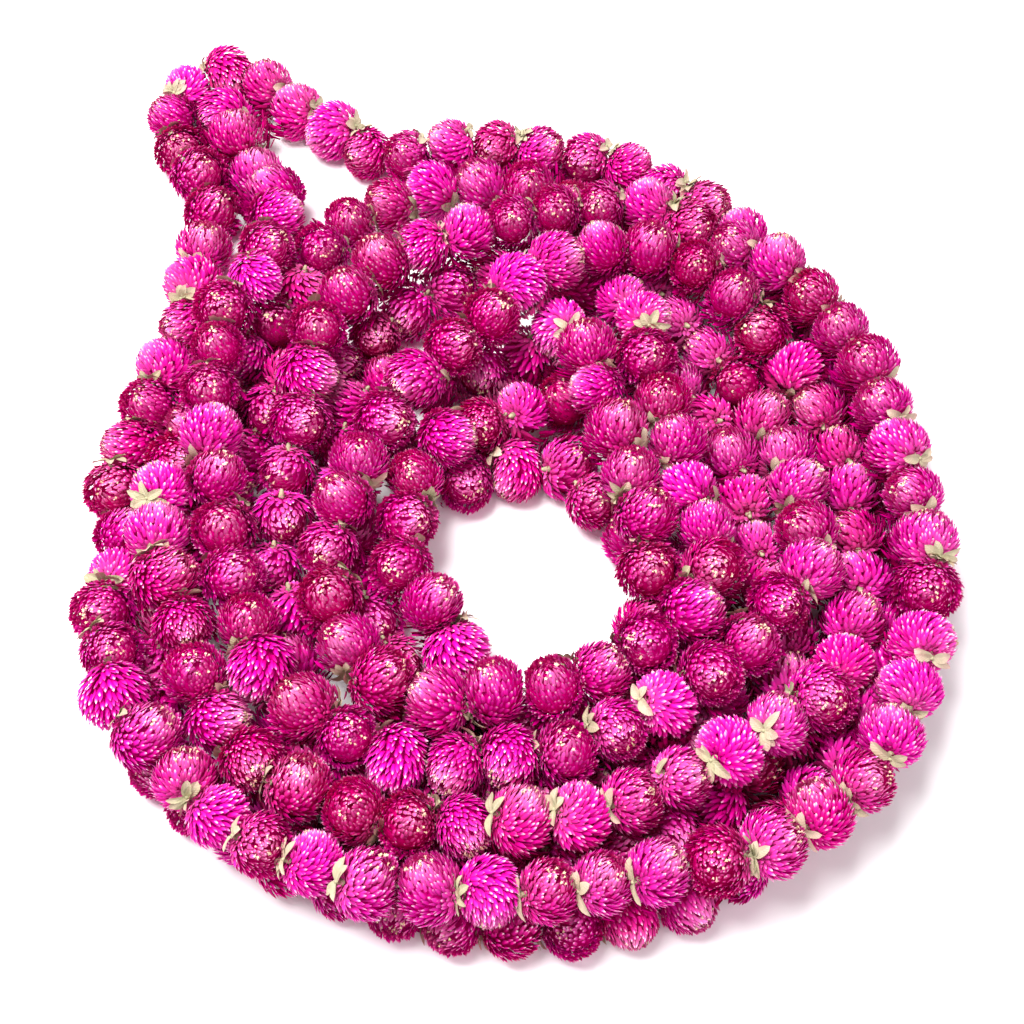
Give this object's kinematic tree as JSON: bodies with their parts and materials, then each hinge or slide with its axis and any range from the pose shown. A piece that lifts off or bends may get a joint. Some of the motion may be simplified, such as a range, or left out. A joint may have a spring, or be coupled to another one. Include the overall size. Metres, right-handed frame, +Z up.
{
  "type": "fresh flower lei",
  "caption": "Fresh flower lei of magenta globe amaranth heads strung on a cotton thread, coiled in overlapping laps round an open middle, with one loop laid out beside it.",
  "frame": {"origin": "under the middle of the whole lei's outline, on the surface that it lies on", "axes": "+Z up from the surface, which is the lei's thin way; +Y along its longest way, towards the loop's end; +X to the right as seen from the front, -Y"},
  "size_m": [0.3314, 0.4082, 0.0513],
  "materials": {
    "bracts": "papery dry bracts, satin, magenta shading to pale pink at their base and deep crimson in the gaps",
    "florets": "tiny cream-yellow florets, matte",
    "leaf_bracts": "pale grey-green leaf bracts and stalk stubs, matte with fine hairs",
    "thread": "twisted natural cotton thread, matte"
  },
  "bodies": {
    "root": {"thread": "thread", "heads_01": "bracts", "heads_02": "bracts", "heads_03": "bracts", "heads_04": "bracts", "heads_05": "bracts", "heads_06": "bracts", "heads_07": "bracts", "heads_08": "bracts", "heads_09": "bracts", "heads_10": "bracts", "heads_11": "bracts", "heads_12": "bracts", "heads_13": "bracts", "heads_14": "bracts", "heads_15": "bracts", "heads_16": "bracts", "heads_17": "bracts", "heads_18": "bracts", "heads_19": "bracts", "heads_20": "bracts", "heads_21": "bracts", "heads_22": "bracts", "heads_23": "bracts", "heads_24": "bracts", "heads_25": "bracts", "heads_26": "bracts", "heads_27": "bracts", "heads_28": "bracts", "heads_29": "bracts", "heads_30": "bracts", "heads_31": "bracts", "heads_32": "bracts", "heads_33": "bracts", "heads_34": "bracts", "heads_35": "bracts", "heads_36": "bracts", "heads_37": "bracts", "heads_38": "bracts", "heads_39": "bracts", "heads_40": "bracts", "heads_41": "bracts", "heads_42": "bracts", "heads_43": "bracts", "heads_44": "bracts", "heads_45": "bracts", "heads_46": "bracts", "heads_47": "bracts", "heads_48": "bracts", "heads_49": "bracts", "heads_50": "bracts", "heads_51": "bracts", "heads_52": "bracts", "heads_53": "bracts", "heads_54": "bracts", "heads_55": "bracts"}
  },
  "joints": []
}
